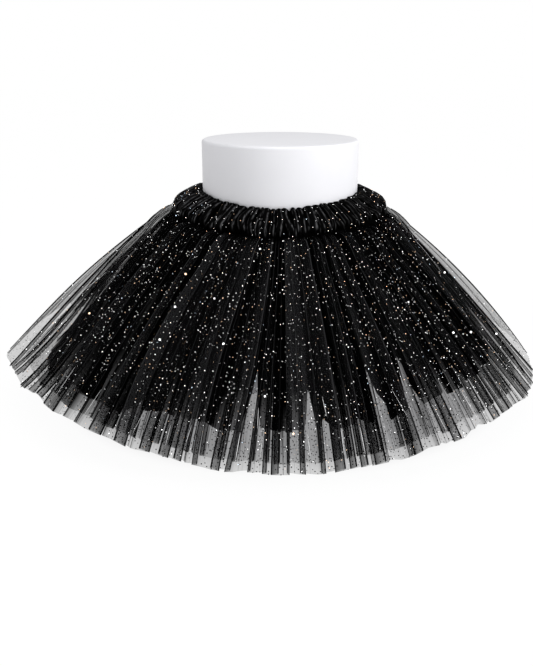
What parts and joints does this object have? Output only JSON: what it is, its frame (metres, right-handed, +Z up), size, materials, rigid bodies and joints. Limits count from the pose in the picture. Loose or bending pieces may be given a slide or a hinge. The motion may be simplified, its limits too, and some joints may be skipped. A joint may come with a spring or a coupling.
{
  "type": "ballet tutu on a round display form",
  "caption": "Short pleated net ballet tutu in black with a gathered waistband and scattered glitter, shown on a plain white cylindrical display form.",
  "frame": {"origin": "centre of the display form's flat base", "axes": "+Z up the form's axis, -Y towards the tutu's front, +X towards the viewer's right"},
  "size_m": [0.6611, 0.6431, 0.298],
  "materials": {
    "form_white": "smooth matte white",
    "band_black": "black gathered satin under glitter net",
    "outer_net": "sheer stiff black net with scattered silver and bronze glitter",
    "middle_net": "sheer stiff black net",
    "lining_net": "dense black underskirt net"
  },
  "bodies": {
    "root": {"display_form": "form_white", "waistband": "band_black", "outer_net_skirt": "outer_net", "middle_net_skirt": "middle_net", "lining_skirt": "lining_net"}
  },
  "joints": []
}
